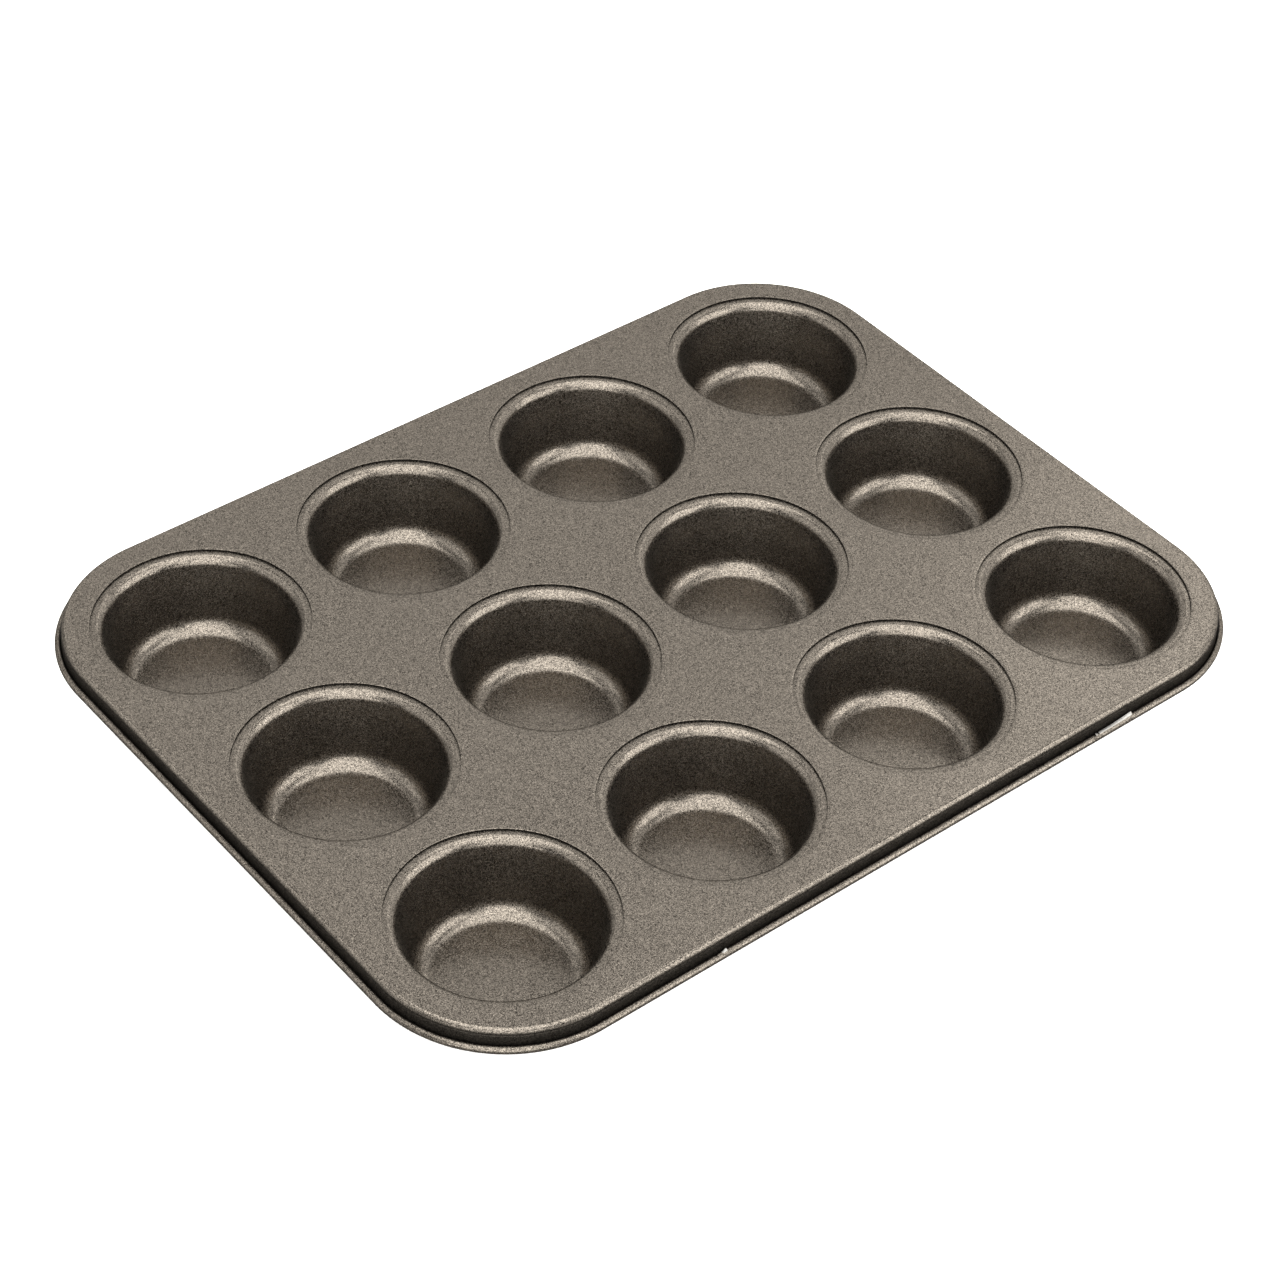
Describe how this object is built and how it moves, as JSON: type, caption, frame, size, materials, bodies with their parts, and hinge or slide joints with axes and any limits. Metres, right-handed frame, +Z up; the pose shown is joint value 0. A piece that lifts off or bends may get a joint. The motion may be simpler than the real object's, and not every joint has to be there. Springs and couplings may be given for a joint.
{
  "type": "muffin tin",
  "caption": "Rectangular muffin tin in dark coated steel: round drawn cups lapped under a flat deck with rounded corners, a short skirt and a rolled, wired rim.",
  "frame": {"origin": "on the surface that the tin stands on, under the middle of the deck", "axes": "+X along the long side, +Y along the short side, +Z up, the way the cups open"},
  "size_m": [0.35, 0.2682, 0.029],
  "materials": {
    "deck_coating": "satin non-stick coating with a fine metallic fleck, warm grey-brown",
    "cup_coating": "satin non-stick coating with a fine metallic fleck, warm grey-brown",
    "wire_steel": "bare drawn wire"
  },
  "bodies": {
    "root": {"deck": "deck_coating", "cup_1_1": "cup_coating", "cup_1_2": "cup_coating", "cup_1_3": "cup_coating", "cup_2_1": "cup_coating", "cup_2_2": "cup_coating", "cup_2_3": "cup_coating", "cup_3_1": "cup_coating", "cup_3_2": "cup_coating", "cup_3_3": "cup_coating", "cup_4_1": "cup_coating", "cup_4_2": "cup_coating", "cup_4_3": "cup_coating", "rim_wire": "wire_steel"}
  },
  "joints": []
}
